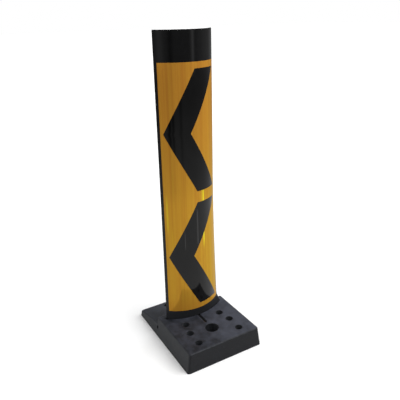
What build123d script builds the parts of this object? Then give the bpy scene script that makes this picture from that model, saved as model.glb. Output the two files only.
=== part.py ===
"""Collapsible delineator post: a curved flexible panel with chevrons, held in a moulded rubber base.

Millimetres. +Z is up, the panel's bulging front faces -Y, and the origin is the middle of the base's
footprint on the road. The panel is one moulding that bends just above the base, so it is made in three
lengths: the foot in the base, the stretch that bends and the blade that swings. Its curve is tight at the top
and opens out towards the foot, because the slot in the base is flatter.
"""
import os
from math import cos, degrees, radians, sin, tan

from build123d import *

# Panel
panel_width = 228.4  # along the curve of the front face
panel_thickness = 5.0
panel_height = 931.5  # above the top of the base
bend_height = 100.0  # stretch above the base that bends when the panel is knocked down
panel_radius = 115.5  # front face, above the flare
flare_height = 490.0  # above the base, where the panel starts to open out
flare_radius = 140.0  # front face at the foot of the sheet
foot_radius = 185.0  # front face in the base
flare_steps = 5

# Base
base_shoulder = 31.0  # from the foot's edge to the base's side, on the road, halfway along the base
side_taper = 0.6  # degrees by which each side draws in towards the rear, in plan
panel_setback = 172.4  # from the base's front edge, on the road, to the panel's front
wall_behind_panel = 23.3  # from the foot's rear corners to the rear wall of the raised block
ramp_length = 136.7
block_height = 68.5
ramp_step_height = 44.0  # top of the ramp where it meets the block
ramp_rear_height = 19.0
side_draft = 8.0  # degrees
front_draft = 2.8
rear_draft = 6.5
corner_radius = 8.0
edge_radius = 5.0
rim_radius = 1.5  # on the edges of the holes and the slot

# Slot, with a round relief at each end and a slit for the foot's key
slot_clearance = 0.4
relief_radius = 4.5
slit_width = 8.5
slit_length = 51.2  # forward from the panel's front
slit_lip_radius = 3.0  # in plan, where the slit leaves the slot

# Anchor holes
anchor_hole_radius = 12.0
anchor_spacing = 153.0  # between the two holes of the front and the middle row
rear_anchor_spacing = 132.0
front_row_setback = 40.4  # from the base's front edge
middle_row_offset = 11.0  # behind the middle of the post hole
rear_row_lead = 28.2  # ahead of the panel's front
ramp_anchor_spacing = 79.0
ramp_anchor_inset = 31.0  # from the base's rear edge
post_hole_radius = 22.5
post_hole_lead = 13.2  # rubber between the slit and the post hole

# Foot of the panel, and the rod that locks it
foot_lift = 3.0  # above the road
key_drop = 5.0  # key's top below the top of the base
key_clearance = 0.3
rod_radius = 6.0
rod_clearance = 0.1
rod_gap = 10.3  # between the rod and the foot's rear corners
rod_depth = 11.5  # below the top of the ramp at the step
lug_width = 14.0
lug_inset = 10.0  # from the foot's edge to the middle of the lug
lug_wall = 2.5
plug_length = 12.0
plug_recess = 3.0
plug_chamfer = 1.0

# Films
adhesive_thickness = 0.2  # behind each film
sheet_thickness = 0.4
sheet_side_margin = 10.8  # bare panel beside the sheet, along the curve
sheet_bottom_gap = 27.8  # bare panel above the base
sheet_top_gap = 87.2
chevron_thickness = 0.25
chevron_end_margin = 18.5
chevron_tip_margin = 9.5
chevron_arm_margin = 13.8  # between the arms' ends and the sheet's edge
chevron_gap = 36.7
chevron_arm_width = 83.0  # level, along the curve
arm_steps = 6  # points along each arm's edge

# Plan of the foot and the base
half_width = panel_width / 2
foot_half_angle = half_width / foot_radius
foot_chord = 2 * foot_radius * sin(foot_half_angle)
foot_depth = foot_radius - (foot_radius - panel_thickness) * cos(foot_half_angle)
block_length = panel_setback + foot_depth + wall_behind_panel
base_width = foot_chord + 2 * base_shoulder
base_length = block_length + ramp_length
front_y = -base_length / 2
rear_y = base_length / 2
rear_wall_y = front_y + block_length
panel_front_y = front_y + panel_setback
foot_axis_y = panel_front_y + foot_radius
foot_edge_y = foot_axis_y - foot_radius * cos(foot_half_angle)
foot_rear_y = panel_front_y + foot_depth
slit_end_y = panel_front_y - slit_length
post_hole_y = slit_end_y - post_hole_lead - post_hole_radius

# Heights
sheet_bottom = block_height + sheet_bottom_gap
sheet_height = panel_height - sheet_bottom_gap - sheet_top_gap
chevron_height = (sheet_height - 2 * chevron_end_margin - chevron_gap) / 2
lower_chevron_bottom = sheet_bottom + chevron_end_margin
upper_chevron_bottom = lower_chevron_bottom + chevron_height + chevron_gap
flare_top = block_height + flare_height
flare_step = (flare_top - sheet_bottom) / flare_steps
flare_levels = [sheet_bottom + flare_step * step for step in range(flare_steps + 1)]

# Locking rod
rod_y = foot_rear_y + rod_gap + rod_radius
rod_z = ramp_step_height - rod_depth
rod_hole_radius = rod_radius + rod_clearance
lug_radius = rod_hole_radius + lug_wall
lug_x = foot_chord / 2 - lug_inset
side_at_rod = (
    base_width / 2
    - (rod_y + rod_hole_radius) * tan(radians(side_taper))
    - (rod_z + rod_hole_radius) * tan(radians(side_draft))
)
plug_outer_x = side_at_rod - plug_recess
rod_half_length = plug_outer_x - plug_length


def radius_at(height):
    """Radius of the panel's front face at a height."""
    if height >= flare_top:
        return panel_radius
    if height >= sheet_bottom:
        share = (flare_top - height) / (flare_top - sheet_bottom)
        return panel_radius + (flare_radius - panel_radius) * share**2
    share = min(1, (sheet_bottom - height) / sheet_bottom_gap)
    return flare_radius + (foot_radius - flare_radius) * share


def curved_strip(height, back, front, left, right):
    """A strip along the panel's curve: how far its faces stand off the panel's front, and its two ends."""
    radius = radius_at(height)
    axis = (0, panel_front_y + radius)
    start_angle = degrees(left / radius) - 90
    sweep = degrees((right - left) / radius)
    with BuildSketch(Plane.XY.offset(height)) as strip:
        with BuildLine():
            outer = CenterArc(axis, radius + front, start_angle, sweep)
            inner = CenterArc(axis, radius + back, start_angle, sweep)
            Line(outer @ 0, inner @ 0)
            Line(outer @ 1, inner @ 1)
        make_face()
    return strip.sketch


def panel_section(height):
    """The panel's cross-section at a height."""
    return curved_strip(height, -panel_thickness, 0, -half_width, half_width)


def levels_between(bottom, top):
    """Heights at which a piece takes a section, from its bottom to its top."""
    return [bottom] + [level for level in flare_levels if bottom < level < top] + [top]


def base_outline(height):
    """The base's outline at a height: it leans in on every side and tapers towards the rear."""
    near_y = front_y + height * tan(radians(front_draft))
    far_y = rear_y - height * tan(radians(rear_draft))
    half_base = base_width / 2 - height * tan(radians(side_draft))
    near_x = half_base - near_y * tan(radians(side_taper))
    far_x = half_base - far_y * tan(radians(side_taper))
    with BuildSketch(Plane.XY.offset(height)) as outline:
        with BuildLine():
            Polyline((near_x, near_y), (far_x, far_y), (-far_x, far_y), (-near_x, near_y), close=True)
        make_face()
        fillet(outline.vertices(), corner_radius)
    return outline.sketch


def rod_section(radius, x=0):
    """A circle about the locking rod's axis."""
    with BuildSketch(Plane.YZ.offset(x)) as section:
        with Locations((rod_y, rod_z)):
            Circle(radius)
    return section.sketch


def lug_outline(height, clearance):
    """Plan of the two lugs behind the foot's edges, cut off at the foot's front face."""
    lug_front = foot_edge_y - foot_depth / 2
    lug_rear = rod_y + lug_radius
    with BuildSketch(Plane.XY.offset(height)) as outline:
        with Locations((lug_x, (lug_front + lug_rear) / 2), (-lug_x, (lug_front + lug_rear) / 2)):
            Rectangle(lug_width + 2 * clearance, lug_rear - lug_front + 2 * clearance)
        with Locations((0, foot_axis_y)):
            Circle(foot_radius + clearance, mode=Mode.INTERSECT)
    return outline.sketch


def slit_outline(height, width, length):
    """Plan of the key or its slit: it starts inside the panel and ends round, ahead of it."""
    start_y = panel_front_y + panel_thickness / 2
    round_y = panel_front_y - length + width / 2
    with BuildSketch(Plane.XY.offset(height)) as outline:
        with Locations((0, (start_y + round_y) / 2)):
            Rectangle(width, start_y - round_y)
        with Locations((0, round_y)):
            Circle(width / 2)
    return outline.sketch


# Rear ramp of the base, with its front end inside the block
with BuildPart() as ramp:
    loft([base_outline(0), base_outline(block_height)], ruled=True)
    slope = (ramp_step_height - ramp_rear_height) / ramp_length
    ramp_front_y = rear_wall_y - wall_behind_panel
    with BuildSketch(Plane.YZ):
        with BuildLine():
            Polyline(
                (front_y, 0),
                (ramp_front_y, 0),
                (ramp_front_y, ramp_step_height + slope * wall_behind_panel),
                (rear_y, ramp_rear_height),
                (rear_y, 2 * block_height),
                (front_y, 2 * block_height),
                close=True,
            )
        make_face()
    extrude(amount=base_width, both=True, mode=Mode.SUBTRACT)
    sloping_top = ramp.faces().sort_by(lambda face: face.normal_at().Z)[-1]
    fillet(sloping_top.edges() - sloping_top.edges().group_by(Axis.Y)[0], edge_radius)

with BuildPart() as base_block:
    loft([base_outline(0), base_outline(block_height)], ruled=True)
    with BuildSketch(Plane.XZ.offset(-rear_wall_y)):
        Rectangle(2 * base_width, 4 * block_height)
    extrude(amount=-base_length, mode=Mode.SUBTRACT)
    block_top = base_block.faces().sort_by(Axis.Z)[-1]
    rear_wall = base_block.faces().sort_by(Axis.Y)[-1]
    upright_edges = rear_wall.edges().sort_by(lambda edge: abs(edge.center().X))[-2:]
    fillet(block_top.edges() + upright_edges, edge_radius)
    add(ramp.part)

    # Slot for the panel, with its slit and end reliefs, and the lug pockets under it
    slot_half_width = half_width + slot_clearance
    middle_radius = foot_radius - panel_thickness / 2
    relief_x = middle_radius * sin(foot_half_angle)
    relief_y = foot_axis_y - middle_radius * cos(foot_half_angle)
    with BuildSketch() as slot:
        add(
            curved_strip(
                0, -panel_thickness - slot_clearance, slot_clearance, -slot_half_width, slot_half_width
            )
        )
        add(slit_outline(0, slit_width, slit_length))
        with Locations((relief_x, relief_y), (-relief_x, relief_y)):
            Circle(relief_radius)
        fillet(slot.vertices().sort_by_distance((0, panel_front_y))[:2], slit_lip_radius)
    extrude(amount=block_height, mode=Mode.SUBTRACT)
    extrude(lug_outline(0, slot_clearance), amount=rod_z + lug_radius + slot_clearance, mode=Mode.SUBTRACT)
    extrude(rod_section(rod_hole_radius), amount=base_width, both=True, mode=Mode.SUBTRACT)

    # Post hole and anchor holes
    with Locations((0, post_hole_y)):
        Hole(post_hole_radius)
    for spacing, row_y in (
        (anchor_spacing, front_y + front_row_setback),
        (anchor_spacing, post_hole_y + middle_row_offset),
        (rear_anchor_spacing, panel_front_y - rear_row_lead),
        (ramp_anchor_spacing, rear_y - ramp_anchor_inset),
    ):
        with Locations((spacing / 2, row_y), (-spacing / 2, row_y)):
            Hole(anchor_hole_radius)
    top_rims = base_block.faces().sort_by(Axis.Z)[-1].inner_wires()
    fillet(ShapeList(edge for rim in top_rims for edge in rim.edges()), rim_radius)

with BuildPart() as panel_foot:
    extrude(panel_section(foot_lift), amount=block_height - foot_lift)
    key_width = slit_width - 2 * key_clearance
    key_height = block_height - key_drop - foot_lift
    extrude(slit_outline(foot_lift, key_width, slit_length - key_clearance), amount=key_height)
    extrude(lug_outline(rod_z - lug_radius, 0), amount=2 * lug_radius)
    extrude(rod_section(rod_hole_radius), amount=base_width, both=True, mode=Mode.SUBTRACT)

bend_top = block_height + bend_height
with BuildPart() as panel_bend:
    loft([panel_section(level) for level in levels_between(block_height, bend_top)], ruled=True)

with BuildPart() as panel_blade:
    blade_levels = levels_between(bend_top, block_height + panel_height)
    loft([panel_section(level) for level in blade_levels], ruled=True)

with BuildPart() as locking_rod:
    extrude(rod_section(rod_radius), amount=rod_half_length, both=True)

with BuildPart() as rod_end_plugs:
    for side in (1, -1):
        extrude(rod_section(rod_radius, side * rod_half_length), amount=side * plug_length)
    plug_ends = rod_end_plugs.faces().filter_by(Axis.X).sort_by(lambda face: abs(face.center().X))[-2:]
    chamfer(plug_ends.edges(), plug_chamfer)

# Films on the front of the panel
sheet_edge = half_width - sheet_side_margin
chevron_back = 2 * adhesive_thickness + sheet_thickness  # off the panel's front
tip_place = chevron_tip_margin - sheet_edge
arm_end_place = sheet_edge - chevron_arm_margin - chevron_arm_width


def film_sections(bottom, height, back, thickness):
    """Sections of a film as wide as the sheet, wrapped on the panel's front."""
    levels = levels_between(bottom, bottom + height)
    return [curved_strip(level, back, back + thickness, -sheet_edge, sheet_edge) for level in levels]


def arm_edge(bottom, start, end):
    """Edge of a chevron's arm, seen from the front: it moves along the panel's curve as it rises."""
    points = []
    for step in range(arm_steps + 1):
        share = step / arm_steps
        height = bottom + share * chevron_height / 2
        radius = radius_at(height)
        place = start + (end - start) * share
        points.append(((radius + chevron_back) * sin(place / radius), height))
    return points


def chevron_outline(bottom):
    """A chevron that points left, seen from the front."""
    middle = bottom + chevron_height / 2
    lower_edges = []
    upper_edges = []
    for shift in (0, chevron_arm_width):
        lower_edges.append(arm_edge(bottom, arm_end_place + shift, tip_place + shift))
        upper_edges.append(arm_edge(middle, tip_place + shift, arm_end_place + shift))
    with BuildSketch(Plane.XZ) as outline:
        with BuildLine():
            for edge in lower_edges + upper_edges:
                Spline(*edge)
            Line(lower_edges[0][0], lower_edges[1][0])
            Line(upper_edges[0][-1], upper_edges[1][-1])
        make_face()
    return outline.sketch


def chevron(bottom):
    """A chevron cut from film on the sheet."""
    with BuildPart() as film:
        loft(film_sections(bottom, chevron_height, chevron_back, chevron_thickness), ruled=True)
        extrude(chevron_outline(bottom), amount=base_length, both=True, mode=Mode.INTERSECT)
    return film


with BuildPart() as yellow_sheet:
    loft(film_sections(sheet_bottom, sheet_height, adhesive_thickness, sheet_thickness), ruled=True)

lower_chevron = chevron(lower_chevron_bottom)
upper_chevron = chevron(upper_chevron_bottom)

os.makedirs("parts", exist_ok=True)
for node, piece in {
    "base_block": base_block,
    "panel_foot": panel_foot,
    "panel_bend": panel_bend,
    "panel_blade": panel_blade,
    "locking_rod": locking_rod,
    "rod_end_plugs": rod_end_plugs,
    "yellow_sheet": yellow_sheet,
    "lower_chevron": lower_chevron,
    "upper_chevron": upper_chevron,
}.items():
    piece.part.label = node
    export_step(piece.part, f"parts/{node}.step")
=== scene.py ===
"""Looks of the collapsible delineator post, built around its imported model.

Metres, in the model's own frame: +Z is up, the panel's bulging front faces -Y, and the origin is the middle
of the base's footprint on the road.
"""
import math

import bmesh
import bpy
from mathutils import Matrix, Vector


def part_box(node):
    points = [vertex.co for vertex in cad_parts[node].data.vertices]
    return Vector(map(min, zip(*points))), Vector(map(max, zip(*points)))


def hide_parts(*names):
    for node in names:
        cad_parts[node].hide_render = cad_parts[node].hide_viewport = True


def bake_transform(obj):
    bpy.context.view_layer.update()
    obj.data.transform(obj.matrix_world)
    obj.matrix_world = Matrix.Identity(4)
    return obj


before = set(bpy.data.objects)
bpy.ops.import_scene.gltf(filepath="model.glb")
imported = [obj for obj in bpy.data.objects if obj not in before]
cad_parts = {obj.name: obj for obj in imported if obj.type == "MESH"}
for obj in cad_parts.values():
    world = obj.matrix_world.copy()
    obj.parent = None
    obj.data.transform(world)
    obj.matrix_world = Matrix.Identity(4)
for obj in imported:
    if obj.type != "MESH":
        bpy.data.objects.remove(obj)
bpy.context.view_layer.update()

# Panel: places come from the model's nodes, and these sizes complete them
panel_width = 0.2284  # along the curve of the front face
panel_thickness = 0.005
panel_radius = 0.1155  # front face, above the flare
flare_height = 0.490  # above the base, where the panel starts to open out
flare_radius = 0.140  # front face at the foot of the sheet
foot_radius = 0.185  # front face at the top of the base
edge_round = 0.0003
top_ring_share = 0.98  # of the rounding, by which the topmost ring is drawn in
adhesive_thickness = 0.0002
sheet_thickness = 0.0004
sheet_side_margin = 0.0108  # bare panel beside the sheet, along the curve
chevron_thickness = 0.00025
chevron_tip_margin = 0.0095
chevron_arm_margin = 0.0138  # between the arms' ends and the sheet's edge
chevron_arm_width = 0.083

# Mesh steps
panel_step = 0.0022
film_step = 0.003
bend_row_step = 0.004
row_step = 0.012
round_steps = 4
step_slack = 1e-6  # of a step, so that rounding adds none
sharp_angle = math.radians(40)

# Gentle waves that a moulded sheet keeps: wavelength along the curve, height, phase, drift over the height
panel_waves = (
    (0.061, 0.00012, 0.4, 0.9),
    (0.033, 0.00005, 2.1, -1.7),
    (0.0174, 0.00002, 4.4, 2.6),
)
wave_fade_height = 0.10

# Painted glints, bright upright streaks painted into the reflective film's colour: place along the curve,
# half width, low and high end, strength
painted_glints = (
    (0.0295, 0.0042, 0.31, 0.56, 1.0),
    (0.0235, 0.0022, 0.44, 0.56, 0.35),
    (-0.0935, 0.0050, 0.37, 0.53, 0.32),
    (-0.0790, 0.0030, 0.30, 0.42, 0.15),
)
glint_fade = 0.05

# Road dust on the panel: at full strength below the low height, and none above the high one
dust_low = 0.10
dust_high = 0.32
dust_strength = 0.9

# Floor and sky
floor_half_size = 30.0
floor_seen = (0.98, 0.98, 0.98, 1)
floor_mirrored = (0.80, 0.80, 0.80, 1)
floor_bounce = (0.32, 0.32, 0.32, 1)
sky_colour = (1, 1, 1, 1)
sky_light = 0.50

# Surround that only reflections show. A band has an azimuth and a half width in degrees, and a strength.
# Azimuth 0 is straight ahead of the panel, positive to the right.
surround_radius = 1.35
surround_height = 1.3
surround_sides = 96
surround_gloom = 0.24
floor_glow = 0.5  # added where the surround meets the floor
floor_glow_height = 0.6
band_low = 0.70  # upper bands start to show here and are whole at band_high, where lower bands end
band_high = 0.80
upper_bands = (
    (-69, 22, 0.36),
    (-38, 14, -0.14),
    (31, 12, 0.78),
    (70, 35, 0.12),
)
lower_bands = (
    (-50, 8, -0.36),
    (-38, 8, -0.30),
    (-12, 7, -0.17),
)
back_glow = (180, 65, 0.5)  # one more upper band, behind the panel

# Bright strips on the floor that only reflections show: azimuth and half width in degrees, near and far reach
glints = (
    (33.5, 2.5, 0.68, 1.10),
    (-12, 1.2, 0.66, 0.82),
)
glint_level = 2.2
glint_lift = 0.001

# Lamps: name, strength, azimuth, elevation and angular size in degrees
lamps = (
    ("key", 3.0, 60, 45, 70),
    ("fill", 0.6, -95, 35, 90),
)

# Camera, at the photograph's viewing angle: turns in radians, lens and sensor in millimetres
camera_place = (-0.67619, -1.20899, 1.04204)
camera_yaw = 0.5243
camera_pitch = -0.3791
camera_roll = 0.0218
camera_lens = 42.448
camera_sensor = 36.0

# Places from the model
blade_low, blade_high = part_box("panel_blade")
bend_low, bend_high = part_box("panel_bend")
sheet_low, sheet_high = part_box("yellow_sheet")
panel_front_y = blade_low.y
panel_bottom = bend_low.z
bend_top = bend_high.z
panel_top = blade_high.z
sheet_bottom = sheet_low.z
sheet_top = sheet_high.z
flare_top = panel_bottom + flare_height
half_arc = panel_width / 2
sheet_edge = half_arc - sheet_side_margin


def smoothstep(value):
    value = min(max(value, 0.0), 1.0)
    return value * value * (3 - 2 * value)


def wave(arc, height):
    """How far the panel's surface stands off its true arc, at a place along the curve and a height."""
    total = 0.0
    for length, rise, phase, drift in panel_waves:
        total += rise * math.sin(2 * math.pi * arc / length + phase + drift * height)
    return total * smoothstep((height - panel_bottom) / wave_fade_height)


def radius_at(height):
    """Radius of the panel's front face at a height: it opens out towards the foot."""
    if height >= flare_top:
        return panel_radius
    if height >= sheet_bottom:
        share = (flare_top - height) / (flare_top - sheet_bottom)
        return panel_radius + (flare_radius - panel_radius) * share**2
    share = (sheet_bottom - height) / (sheet_bottom - panel_bottom)
    return flare_radius + (foot_radius - flare_radius) * share


def on_panel(arc, stand_off, height):
    """The point at a place along the panel's front curve, at a distance in front of it, and at a height."""
    radius = radius_at(height)
    angle = arc / radius
    reach = radius + stand_off + wave(arc, height)
    return Vector((reach * math.sin(angle), panel_front_y + radius - reach * math.cos(angle), height))


def spread(start, end, step):
    """Evenly spaced values from start to end, no further apart than step."""
    count = max(1, math.ceil(abs(end - start) / step - step_slack))
    return [start + (end - start) * index / count for index in range(count + 1)]


def rows_between(bottom, top):
    """Heights of a piece's rows, closer together where the panel bends, with one at the sheet's foot."""
    stops = [bottom] + [height for height in (sheet_bottom, bend_top) if bottom < height < top] + [top]
    rows = [bottom]
    for start, end in zip(stops, stops[1:]):
        step = bend_row_step if end <= bend_top else row_step
        rows += spread(start, end, step)[1:]
    return rows


def finish_mesh(name, build, material):
    """An object made from a bmesh, smooth but for its sharp edges."""
    bmesh.ops.recalc_face_normals(build, faces=build.faces)
    for face in build.faces:
        face.smooth = True
    for edge in build.edges:
        edge.smooth = len(edge.link_faces) == 2 and edge.calc_face_angle() < sharp_angle
    mesh = bpy.data.meshes.new(name)
    build.to_mesh(mesh)
    build.free()
    mesh.materials.append(material)
    made = bpy.data.objects.new(name, mesh)
    bpy.context.scene.collection.objects.link(made)
    return made


def lay_uv(build, places):
    """A UV map in metres: along the panel's curve, and up."""
    layer = build.loops.layers.uv.new("sheet")
    for face in build.faces:
        for loop in face.loops:
            loop[layer].uv = places[loop.vert]


def film(name, rows, back, thickness, material):
    """A thin film on the panel. Each row is a height and the places along the curve that it spans."""
    build = bmesh.new()
    places = {}
    layers = []
    for stand_off in (back + thickness, back):
        grid = []
        for height, arcs in rows:
            line = []
            for arc in arcs:
                vert = build.verts.new(on_panel(arc, stand_off, height))
                places[vert] = (arc, height)
                line.append(vert)
            grid.append(line)
        layers.append(grid)
    front, rear = layers
    last = len(front[0]) - 1
    for row in range(len(front) - 1):
        for column in range(last):
            for grid in layers:
                build.faces.new((
                    grid[row][column],
                    grid[row][column + 1],
                    grid[row + 1][column + 1],
                    grid[row + 1][column],
                ))
        for column in (0, last):
            build.faces.new((
                front[row][column], rear[row][column], rear[row + 1][column], front[row + 1][column]
            ))
    for row in (0, len(front) - 1):
        for column in range(last):
            build.faces.new((
                front[row][column], front[row][column + 1], rear[row][column + 1], rear[row][column]
            ))
    lay_uv(build, places)
    return finish_mesh(name, build, material)


def rounded_corner(arc, stand_off, radius, quarter):
    """Points round a corner of the panel's section, between its flat sides; quarter 0 is the front right."""
    points = []
    for step in range(1, round_steps):
        turn = math.pi / 2 * (quarter + step / round_steps)
        points.append((arc + radius * math.sin(turn), stand_off + radius * math.cos(turn)))
    return points


def panel_outline(inset):
    """The panel's section, drawn in by an inset, as places along the curve and distances off the front."""
    radius = edge_round - inset
    side = half_arc - inset
    front = -inset
    back = inset - panel_thickness
    corner_arc = side - radius
    corner_front = front - radius
    corner_back = back + radius
    flat = spread(-corner_arc, corner_arc, panel_step)
    outline = [(arc, front) for arc in flat]
    outline += rounded_corner(corner_arc, corner_front, radius, 0)
    outline += [(side, corner_front), (side, corner_back)]
    outline += rounded_corner(corner_arc, corner_back, radius, 1)
    outline += [(arc, back) for arc in reversed(flat)]
    outline += rounded_corner(-corner_arc, corner_back, radius, 2)
    outline += [(-side, corner_back), (-side, corner_front)]
    outline += rounded_corner(-corner_arc, corner_front, radius, 3)
    return outline


def panel_levels():
    """Heights of the panel's rings, and how far each is drawn in to round the top edge."""
    levels = [(height, 0.0) for height in rows_between(panel_bottom, panel_top - edge_round)]
    for step in range(1, round_steps):
        turn = math.pi / 2 * step / round_steps
        height = panel_top - edge_round + edge_round * math.sin(turn)
        levels.append((height, edge_round * (1 - math.cos(turn))))
    levels.append((panel_top, edge_round * top_ring_share))
    return levels


def panel_shell(material):
    """The bending stretch and the blade as one moulding, with rounded edges."""
    build = bmesh.new()
    places = {}
    rings = []
    for height, inset in panel_levels():
        ring = []
        for arc, stand_off in panel_outline(inset):
            vert = build.verts.new(on_panel(arc, stand_off, height))
            places[vert] = (arc, height)
            ring.append(vert)
        rings.append(ring)
    count = len(rings[0])
    for lower, upper in zip(rings, rings[1:]):
        for index in range(count):
            after = (index + 1) % count
            build.faces.new((lower[index], lower[after], upper[after], upper[index]))
    build.faces.new(rings[0])
    build.faces.new(rings[-1])
    lay_uv(build, places)
    return finish_mesh("panel", build, material)


def chevron(name, node, material):
    """A chevron film that points left, on the sheet, where its node is."""
    low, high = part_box(node)
    back = 2 * adhesive_thickness + sheet_thickness
    tip = chevron_tip_margin - sheet_edge
    arm_end = sheet_edge - chevron_arm_margin - chevron_arm_width
    middle = (low.z + high.z) / 2
    heights = rows_between(low.z, middle) + rows_between(middle, high.z)[1:]
    rows = []
    for height in heights:
        lean = abs(height - middle) / (high.z - middle)
        left = tip + (arm_end - tip) * lean
        rows.append((height, spread(left, left + chevron_arm_width, film_step)))
    return film(name, rows, back, chevron_thickness, material)


def sheet(material):
    """The reflective sheet behind the chevrons, where its node is."""
    arcs = spread(-sheet_edge, sheet_edge, film_step)
    rows = [(height, arcs) for height in rows_between(sheet_bottom, sheet_top)]
    return film("reflective_sheet", rows, adhesive_thickness, sheet_thickness, material)


def add_node(tree, kind, sockets=None, **settings):
    """A shader node with its settings; a socket takes a value or another node's output."""
    made = tree.nodes.new("ShaderNode" + kind)
    for name, value in settings.items():
        setattr(made, name, value)
    for key, value in (sockets or {}).items():
        if isinstance(value, bpy.types.NodeSocket):
            tree.links.new(value, made.inputs[key])
        else:
            made.inputs[key].default_value = value
    return made


def math_node(tree, operation, first, second=0.0):
    return add_node(tree, "Math", {0: first, 1: second}, operation=operation).outputs[0]


def ramp(tree, value, low, high, to_low=0.0, to_high=1.0):
    """A smooth step: as a value goes from low to high, the result goes from to_low to to_high."""
    return add_node(
        tree,
        "MapRange",
        {"Value": value, "From Min": low, "From Max": high, "To Min": to_low, "To Max": to_high},
        interpolation_type="SMOOTHSTEP",
    ).outputs["Result"]


def mix_colours(tree, factor, first, second):
    made = add_node(tree, "Mix", {0: factor, 6: first, 7: second}, data_type="RGBA")
    return made.outputs[2]


def noise(tree, place, scale, detail=2.0, roughness=0.5):
    return add_node(
        tree, "TexNoise", {"Vector": place, "Scale": scale, "Detail": detail, "Roughness": roughness}
    ).outputs["Fac"]


def stretched(tree, place, scale):
    """Texture places scaled apart on each axis."""
    return add_node(tree, "Mapping", {"Vector": place, "Scale": scale}).outputs["Vector"]


def upright_lines(tree, place, across, upward):
    """Noise drawn out up the panel, by its scales across the panel and up it."""
    return noise(tree, stretched(tree, place, (across, upward, 1)), scale=1, detail=3, roughness=0.6)


def axes_of(tree, vector):
    """A vector's X, Y and Z."""
    return add_node(tree, "SeparateXYZ", {0: vector}).outputs


def object_place(tree):
    """Places in the model's own frame, in metres."""
    return add_node(tree, "TexCoord").outputs["Object"]


def sheet_place(tree):
    """The UV map that runs along the panel's curve and up, in metres."""
    return add_node(tree, "UVMap", uv_map="sheet").outputs["UV"]


def surface_direction(tree):
    """The X, Y and Z of the way that the surface faces."""
    return axes_of(tree, add_node(tree, "NewGeometry").outputs["Normal"])


def bump(tree, height, strength, distance):
    sockets = {"Height": height, "Strength": strength, "Distance": distance}
    return add_node(tree, "Bump", sockets).outputs["Normal"]


def new_material(name):
    """A material with only its output and a Principled shader."""
    material = bpy.data.materials.new(name)
    material.use_nodes = True
    tree = material.node_tree
    shader = next(node for node in tree.nodes if node.type == "BSDF_PRINCIPLED")
    return material, tree, shader


def bare_material(name):
    """A material with only its output, and the socket that its surface goes to."""
    material, tree, shader = new_material(name)
    tree.nodes.remove(shader)
    output = next(node for node in tree.nodes if node.type == "OUTPUT_MATERIAL")
    return material, tree, output.inputs["Surface"]


def connect(tree, shader, **sockets):
    """Links outputs to the shader, or sets its own values; underscores stand for spaces."""
    for name, value in sockets.items():
        socket = shader.inputs[name.replace("_", " ")]
        if isinstance(value, bpy.types.NodeSocket):
            tree.links.new(value, socket)
        else:
            socket.default_value = value


def road_dust(tree, place):
    """How much dust lies at a place on the panel: it thickens towards the road."""
    return ramp(tree, axes_of(tree, place)["Y"], dust_low, dust_high, dust_strength, 0.0)


def rubber_body(tree, mottle, facing):
    """Rubber with painted shade: darker at the base's ends than on its flanks."""
    shaded_end_dark = (0.0082, 0.0087, 0.0106, 1)
    shaded_end_pale = (0.0136, 0.0143, 0.0170, 1)
    flank_dark = (0.0245, 0.0263, 0.0292, 1)
    flank_pale = (0.0385, 0.0410, 0.0455, 1)
    # painted shade: the ends are painted darker than the flanks
    ends = mix_colours(tree, mottle, shaded_end_dark, shaded_end_pale)
    flanks = mix_colours(tree, mottle, flank_dark, flank_pale)
    sideways = math_node(tree, "ABSOLUTE", facing["X"])
    return mix_colours(tree, ramp(tree, sideways, 0.6, 0.95), ends, flanks)


def rubber_top(tree, place, mottle):
    """Rubber that faces up: dust lies in patches and thicker on the ramp, while a painted sheen lightens it
    towards the right and painted shade darkens it to the left.
    """
    clean = (0.0105, 0.0118, 0.0155, 1)
    # the dusty colour also carries the painted sheen towards the right
    dusty = (0.048, 0.052, 0.069, 1)
    mottle_share = 0.48
    left = -0.11
    right = 0.10
    ramp_start = 0.045
    ramp_dusty = 0.06
    axes = axes_of(tree, place)
    clouds = ramp(tree, noise(tree, place, scale=17), 0.35, 0.65, -0.16, 0.22)
    patches = math_node(tree, "ADD", math_node(tree, "MULTIPLY", mottle, mottle_share), clouds)
    # painted sheen and shade: paler towards the right, darker to the left, as the light falls
    drift = ramp(tree, axes["X"], left, right, -0.09, 0.54)
    on_ramp = ramp(tree, axes["Y"], ramp_start, ramp_dusty, 0.0, 0.08)
    dust_and_sheen = math_node(tree, "ADD", math_node(tree, "ADD", drift, patches), on_ramp)
    return mix_colours(tree, dust_and_sheen, clean, dusty)


def rubber_wear(tree, colour, mottle, specks, upward):
    """Pale specks all over, and paler rubber along the top edges, as wear and a painted highlight."""
    speck = (0.045, 0.047, 0.054, 1)
    rubbed_and_highlit = (0.05, 0.053, 0.062, 1)
    speckled = mix_colours(tree, ramp(tree, specks, 0.58, 0.75, 0.0, 0.3), colour, speck)
    # the pale top edges: partly wear, partly a painted highlight on their rounding
    edge = math_node(tree, "MULTIPLY", ramp(tree, upward, 0.2, 0.55), ramp(tree, upward, 0.97, 0.75))
    wear_and_highlight = math_node(tree, "MULTIPLY", edge, ramp(tree, mottle, 0.0, 1.0, 0.2, 0.7))
    return mix_colours(tree, wear_and_highlight, speckled, rubbed_and_highlit)


def nearby_openness(tree, reach):
    """1 where the base is open to the sky, and less the more of its own walls stand within reach."""
    return add_node(tree, "AmbientOcclusion", {"Distance": reach}, only_local=True).outputs["AO"]


def rubber_holes(tree, colour):
    """Painted shade on the walls at the mouths of the holes and the slit, paler deep inside."""
    deep = (0.046, 0.049, 0.055, 1)
    shaded_mouth = (0.0140, 0.0148, 0.0170, 1)
    hole_reach = 0.03  # how far off a wall may be to count as part of a hole
    depth_reach = 0.07  # and to reach the paler depths inside
    openness = nearby_openness(tree, hole_reach)
    # painted shade: dark walls where the holes and the slit keep light out, paler further in
    hole_shade = mix_colours(tree, ramp(tree, nearby_openness(tree, depth_reach), 0.05, 0.6), deep, shaded_mouth)
    return mix_colours(tree, ramp(tree, openness, 0.72, 0.94), hole_shade, colour)


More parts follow.
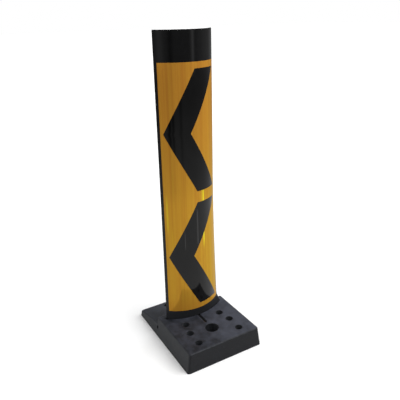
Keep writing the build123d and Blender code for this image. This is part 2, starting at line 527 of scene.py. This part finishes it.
def rubber_material():
    """Moulded rubber: mottled near-black, dusty where it faces up; painted shade at its ends and in its
    holes, a painted sheen to the right, and paler top edges from wear and a painted highlight.
    """
    material, tree, shader = new_material("moulded_rubber")
    speck_relief = 0.5
    place = object_place(tree)
    facing = surface_direction(tree)
    upward = facing["Z"]
    mottle = ramp(tree, noise(tree, place, scale=46, detail=6, roughness=0.72), 0.3, 0.7)
    specks = noise(tree, place, scale=210, detail=3, roughness=0.6)
    grain = noise(tree, place, scale=900)
    body = rubber_body(tree, mottle, facing)
    top = rubber_top(tree, place, mottle)
    plain = mix_colours(tree, ramp(tree, upward, 0.8, 0.99), body, top)
    wear_and_highlight = rubber_wear(tree, plain, mottle, specks, upward)
    relief = math_node(tree, "ADD", math_node(tree, "MULTIPLY", specks, speck_relief), grain)
    connect(
        tree,
        shader,
        Base_Color=rubber_holes(tree, wear_and_highlight),
        Roughness=ramp(tree, mottle, 0.0, 1.0, 0.46, 0.6),
        Normal=bump(tree, relief, strength=0.22, distance=0.0006),
        Specular_IOR_Level=0.18,
    )
    return material


def panel_material():
    """Glossy black plastic with faint upright flow lines, dulled by dust at its foot."""
    material, tree, shader = new_material("black_panel_plastic")
    dark = (0.0028, 0.0028, 0.003, 1)
    pale = (0.0042, 0.0042, 0.0046, 1)
    dusty = (0.0068, 0.0076, 0.0096, 1)
    dull_height = 0.085
    glossy_height = 0.11
    place = sheet_place(tree)
    flow = upright_lines(tree, place, 150, 2.2)
    haze = noise(tree, place, scale=60, detail=4, roughness=0.7)
    clean = mix_colours(tree, ramp(tree, haze, 0.4, 0.75), dark, pale)
    gloss = ramp(tree, haze, 0.3, 0.8, 0.10, 0.16)
    dull_foot = ramp(tree, axes_of(tree, place)["Y"], dull_height, glossy_height, 0.8, 0.0)
    connect(
        tree,
        shader,
        Base_Color=mix_colours(tree, road_dust(tree, place), clean, dusty),
        Roughness=math_node(tree, "ADD", gloss, dull_foot),
        Normal=bump(tree, flow, strength=0.12, distance=0.0004),
        IOR=1.34,
    )
    return material


def painted_glint(tree, along, height, middle, half_width, low, high, strength):
    """How strongly one painted glint, a bright streak painted into the film's colour, shows at a place on the
    film.
    """
    away = math_node(tree, "ABSOLUTE", math_node(tree, "SUBTRACT", along, middle))
    beside = ramp(tree, away, 0.0, half_width, strength, 0.0)
    above = ramp(tree, height, low, low + glint_fade)
    below = ramp(tree, height, high - glint_fade, high, 1.0, 0.0)
    return math_node(tree, "MULTIPLY", beside, math_node(tree, "MULTIPLY", above, below))


def sheet_upper_colour(tree, broad, along):
    """Amber of the sheet's upper half: deeper in its darker stretches, and darker at the right as painted
    shade.
    """
    deep = (0.555, 0.232, 0.032, 1)
    bright = (0.612, 0.287, 0.036, 1)
    # painted shade: a darker amber towards the sheet's right edge
    right = (0.41, 0.22, 0.022, 1)
    shade_start = 0.05  # along the curve
    shade_end = 0.085
    plain = mix_colours(tree, broad, deep, bright)
    return mix_colours(tree, ramp(tree, along, shade_start, shade_end, 0.0, 0.35), plain, right)


def sheet_lower_colour(tree, broad, along, height):
    """Yellower amber of the sheet's lower half, yellower partly as a painted reflection of the floor: darker
    and greener at the right as painted shade, and deeper at the foot.
    """
    # the lower colours carry part of a painted reflection of the floor
    deep = (0.545, 0.265, 0.030, 1)
    bright = (0.605, 0.332, 0.034, 1)
    # painted shade: a darker, greener amber towards the right edge
    right = (0.49, 0.325, 0.026, 1)
    foot = (0.53, 0.225, 0.028, 1)
    shade_start = -0.01  # along the curve
    shade_end = 0.10
    foot_low = 0.10
    foot_high = 0.16
    plain = mix_colours(tree, broad, deep, bright)
    shaded = mix_colours(tree, ramp(tree, along, shade_start, shade_end, 0.0, 0.6), plain, right)
    return mix_colours(tree, ramp(tree, height, foot_low, foot_high, 0.55, 1.0), foot, shaded)


def sheet_material():
    """Amber reflective sheeting: soft upright streaks, painted glints and painted shade under a gloss that
    takes the film's tint.
    """
    material, tree, shader = new_material("amber_reflective_film")
    fine_line = (0.46, 0.195, 0.023, 1)
    # colour of the painted glints, bright lemon highlights painted into the film
    glint_colour = (0.95, 0.84, 0.03, 1)
    gloss_tint = (0.45, 0.36, 0.07, 1)
    lower_height = 0.3
    upper_height = 0.9
    place = sheet_place(tree)
    axes = axes_of(tree, place)
    along = axes["X"]
    height = axes["Y"]
    broad = ramp(tree, upright_lines(tree, place, 88, 0.8), 0.36, 0.64)
    fine = upright_lines(tree, place, 330, 1.8)
    lower = sheet_lower_colour(tree, broad, along, height)
    upper = sheet_upper_colour(tree, broad, along)
    # the lower half's yellower tone is partly a painted reflection of the floor
    body = mix_colours(tree, ramp(tree, height, lower_height, upper_height), lower, upper)
    colour = mix_colours(tree, ramp(tree, fine, 0.3, 0.7, 0.0, 0.16), body, fine_line)
    # painted glints: bright streaks painted over the film's colour
    for streak in painted_glints:
        colour = mix_colours(tree, painted_glint(tree, along, height, *streak), colour, glint_colour)
    connect(
        tree,
        shader,
        Base_Color=colour,
        Roughness=ramp(tree, fine, 0.3, 0.7, 0.10, 0.13),
        Normal=bump(tree, fine, strength=0.04, distance=0.0003),
        Metallic=0.2,
        Specular_IOR_Level=0.04,
        Specular_Tint=gloss_tint,
    )
    return material


def chevron_material():
    """Glossy black film with faint upright lines, dusty near the road."""
    material, tree, shader = new_material("black_chevron_film")
    dark = (0.0026, 0.0026, 0.0026, 1)
    pale = (0.0038, 0.0038, 0.0038, 1)
    dusty = (0.0085, 0.0085, 0.0085, 1)
    place = sheet_place(tree)
    streaks = upright_lines(tree, place, 170, 1.8)
    haze = noise(tree, stretched(tree, place, (40, 25, 1)), scale=1, detail=4, roughness=0.65)
    clean = mix_colours(tree, ramp(tree, haze, 0.35, 0.7), dark, pale)
    connect(
        tree,
        shader,
        Base_Color=mix_colours(tree, road_dust(tree, place), clean, dusty),
        Roughness=ramp(tree, haze, 0.3, 0.75, 0.06, 0.10),
        Normal=bump(tree, streaks, strength=0.10, distance=0.0003),
        IOR=1.34,
    )
    return material


def foot_material():
    """The panel's plastic below the base's top, where no UV map reaches, paler where it faces up as dust and
    painted light that lifts the slit's shade.
    """
    material, tree, shader = new_material("black_foot_plastic")
    dark = (0.005, 0.005, 0.0055, 1)
    pale = (0.014, 0.014, 0.015, 1)
    dusty = (0.015, 0.0157, 0.018, 1)
    haze = noise(tree, object_place(tree), scale=60, detail=4, roughness=0.7)
    clean = mix_colours(tree, ramp(tree, haze, 0.4, 0.75), dark, pale)
    upward = surface_direction(tree)["Z"]
    connect(
        tree,
        shader,
        # paler where it faces up: dust, and painted light in the dark slit
        Base_Color=mix_colours(tree, ramp(tree, upward, 0.6, 0.95), clean, dusty),
        Roughness=ramp(tree, haze, 0.3, 0.8, 0.14, 0.32),
    )
    return material


def steel_material():
    """Drawn zinc-plated bar, with fine lines along its length."""
    material, tree, shader = new_material("plated_steel")
    dull = (0.50, 0.50, 0.51, 1)
    bright = (0.62, 0.62, 0.61, 1)
    place = object_place(tree)
    drawn = noise(tree, stretched(tree, place, (8, 900, 900)), scale=1)
    bloom = noise(tree, place, scale=70, detail=3)
    connect(
        tree,
        shader,
        Base_Color=mix_colours(tree, ramp(tree, bloom, 0.35, 0.7), dull, bright),
        Roughness=ramp(tree, drawn, 0.3, 0.7, 0.28, 0.42),
        Normal=bump(tree, drawn, strength=0.15, distance=0.0002),
        Metallic=1.0,
    )
    return material


def plug_material():
    """Matt moulded plastic."""
    material, tree, shader = new_material("matt_plug_plastic")
    dark = (0.010, 0.010, 0.011, 1)
    pale = (0.020, 0.020, 0.021, 1)
    place = object_place(tree)
    grain = noise(tree, place, scale=1400, detail=3)
    cloud = noise(tree, place, scale=120, detail=3)
    connect(
        tree,
        shader,
        Base_Color=mix_colours(tree, ramp(tree, cloud, 0.35, 0.7), dark, pale),
        Roughness=ramp(tree, grain, 0.3, 0.7, 0.55, 0.7),
        Normal=bump(tree, grain, strength=0.2, distance=0.0003),
    )
    return material


def dress_node(node, material):
    """Gives a carried-over node its material."""
    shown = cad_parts[node]
    shown.data.materials.clear()
    shown.data.materials.append(material)


def seen_directly(tree):
    """1 for rays that show a surface, in the picture or a reflection, and 0 for rays that only light it."""
    path = add_node(tree, "LightPath")
    camera_or_glossy = math_node(
        tree, "MAXIMUM", path.outputs["Is Camera Ray"], path.outputs["Is Glossy Ray"]
    )
    return math_node(tree, "MAXIMUM", camera_or_glossy, path.outputs["Is Transmission Ray"])


def only_in_reflections(piece):
    piece.visible_camera = False
    piece.visible_diffuse = False
    piece.visible_shadow = False
    piece.visible_transmission = False


def floor():
    """A wide pale floor, which bounces less light than it shows."""
    build = bmesh.new()
    bmesh.ops.create_grid(build, x_segments=1, y_segments=1, size=floor_half_size)
    material, tree, surface = bare_material("pale_floor")
    path = add_node(tree, "LightPath")
    mirrored = mix_colours(tree, seen_directly(tree), floor_bounce, floor_mirrored)
    shade = mix_colours(tree, path.outputs["Is Camera Ray"], mirrored, floor_seen)
    matt = add_node(tree, "BsdfDiffuse", {"Color": shade})
    tree.links.new(matt.outputs[0], surface)
    finish_mesh("floor", build, material)


def band(tree, azimuth, middle, half_width, strength):
    """A soft upright band about an azimuth, in degrees."""
    away = math_node(tree, "ABSOLUTE", math_node(tree, "SUBTRACT", azimuth, math.radians(middle)))
    return ramp(tree, away, 0.0, math.radians(half_width), strength, 0.0)


def band_total(tree, azimuth, bands):
    """The sum of several bands."""
    total = band(tree, azimuth, *bands[0])
    for settings in bands[1:]:
        total = math_node(tree, "ADD", total, band(tree, azimuth, *settings))
    return total


def surround_material():
    """A glow as pale as the floor at its foot, and dark above, with soft upright bands."""
    material, tree, surface = bare_material("dark_surround")
    place = axes_of(tree, object_place(tree))
    azimuth = math_node(tree, "ARCTAN2", place["X"], math_node(tree, "MULTIPLY", place["Y"], -1.0))
    from_ahead = math_node(tree, "ABSOLUTE", azimuth)
    base_level = add_node(tree, "MapRange", {
        "Value": place["Z"],
        "From Max": floor_glow_height,
        "To Min": surround_gloom + floor_glow,
        "To Max": surround_gloom,
    }).outputs["Result"]
    ahead = band_total(tree, azimuth, upper_bands)
    upper = math_node(tree, "ADD", ahead, band(tree, from_ahead, *back_glow))
    lower = band_total(tree, azimuth, lower_bands)
    above = ramp(tree, place["Z"], band_low, band_high)
    below = math_node(tree, "SUBTRACT", 1.0, above)
    level = math_node(tree, "ADD", base_level, math_node(tree, "MULTIPLY", upper, above))
    level = math_node(tree, "ADD", level, math_node(tree, "MULTIPLY", lower, below))
    level = math_node(tree, "MAXIMUM", level, 0.0)
    glow = add_node(tree, "Emission", {"Strength": level})
    tree.links.new(glow.outputs[0], surface)
    return material


def dark_surround():
    """A ring round the object that only reflections show."""
    build = bmesh.new()
    rings = []
    for height in (0.0, surround_height):
        ring = []
        for side in range(surround_sides):
            turn = 2 * math.pi * side / surround_sides
            ring.append(build.verts.new((
                surround_radius * math.cos(turn), surround_radius * math.sin(turn), height
            )))
        rings.append(ring)
    for side in range(surround_sides):
        after = (side + 1) % surround_sides
        build.faces.new((rings[0][side], rings[0][after], rings[1][after], rings[1][side]))
    surround = finish_mesh("dark_surround", build, surround_material())
    only_in_reflections(surround)


def floor_glints():
    """Bright strips along the floor that only reflections show."""
    build = bmesh.new()
    for azimuth, half_width, near, far in glints:
        corners = []
        for reach, side in ((near, -1), (near, 1), (far, 1), (far, -1)):
            turn = math.radians(azimuth + side * half_width)
            corners.append(build.verts.new((reach * math.sin(turn), -reach * math.cos(turn), glint_lift)))
        build.faces.new(corners)
    material, tree, surface = bare_material("floor_glints")
    glow = add_node(tree, "Emission", {"Strength": glint_level})
    tree.links.new(glow.outputs[0], surface)
    strips = finish_mesh("floor_glints", build, material)
    only_in_reflections(strips)


def sun(name, strength, azimuth, elevation, angular_size):
    """Soft light from a direction: azimuth 0 is straight ahead of the panel, positive to the right."""
    light = bpy.data.lights.new(name, "SUN")
    light.energy = strength
    light.angle = math.radians(angular_size)
    lamp = bpy.data.objects.new(name, light)
    turn = math.radians(azimuth)
    rise = math.radians(elevation)
    towards = Vector((
        math.sin(turn) * math.cos(rise), -math.cos(turn) * math.cos(rise), math.sin(rise)
    ))
    lamp.rotation_mode = "QUATERNION"
    lamp.rotation_quaternion = towards.to_track_quat("Z", "Y")
    bpy.context.scene.collection.objects.link(lamp)


def sky():
    """White behind the object and in reflections, and an even soft light from all round."""
    world = bpy.data.worlds.new("studio")
    world.use_nodes = True
    tree = world.node_tree
    background = next(node for node in tree.nodes if node.type == "BACKGROUND")
    background.inputs["Color"].default_value = sky_colour
    strength = ramp(tree, seen_directly(tree), 0.0, 1.0, sky_light, 1.0)
    tree.links.new(strength, background.inputs["Strength"])
    bpy.context.scene.world = world


def camera():
    """The camera that takes the photograph's view."""
    data = bpy.data.cameras.new("camera")
    data.sensor_width = camera_sensor
    data.lens = camera_lens
    made = bpy.data.objects.new("camera", data)
    turn = (
        Matrix.Rotation(-camera_yaw, 4, "Z")
        @ Matrix.Rotation(math.pi / 2 + camera_pitch, 4, "X")
        @ Matrix.Rotation(-camera_roll, 4, "Z")
    )
    made.matrix_world = Matrix.Translation(camera_place) @ turn
    bpy.context.scene.collection.objects.link(made)
    bpy.context.scene.camera = made


# Pieces
chevron_film = chevron_material()
panel = panel_shell(panel_material())
reflective_sheet = sheet(sheet_material())
lower_chevron = chevron("lower_chevron_film", "lower_chevron", chevron_film)
upper_chevron = chevron("upper_chevron_film", "upper_chevron", chevron_film)

for piece, nodes, slot in (
    (panel, ("panel_blade", "panel_bend"), "panel_black"),
    (reflective_sheet, ("yellow_sheet",), "yellow_film"),
    (lower_chevron, ("lower_chevron",), "chevron_black"),
    (upper_chevron, ("upper_chevron",), "chevron_black"),
):
    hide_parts(*nodes)
    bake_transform(piece)

dress_node("base_block", rubber_material())
dress_node("panel_foot", foot_material())
dress_node("locking_rod", steel_material())
dress_node("rod_end_plugs", plug_material())

# Stage
floor()
dark_surround()
floor_glints()
sky()
for lamp_settings in lamps:
    sun(*lamp_settings)
camera()
bpy.context.scene.view_settings.view_transform = "Standard"
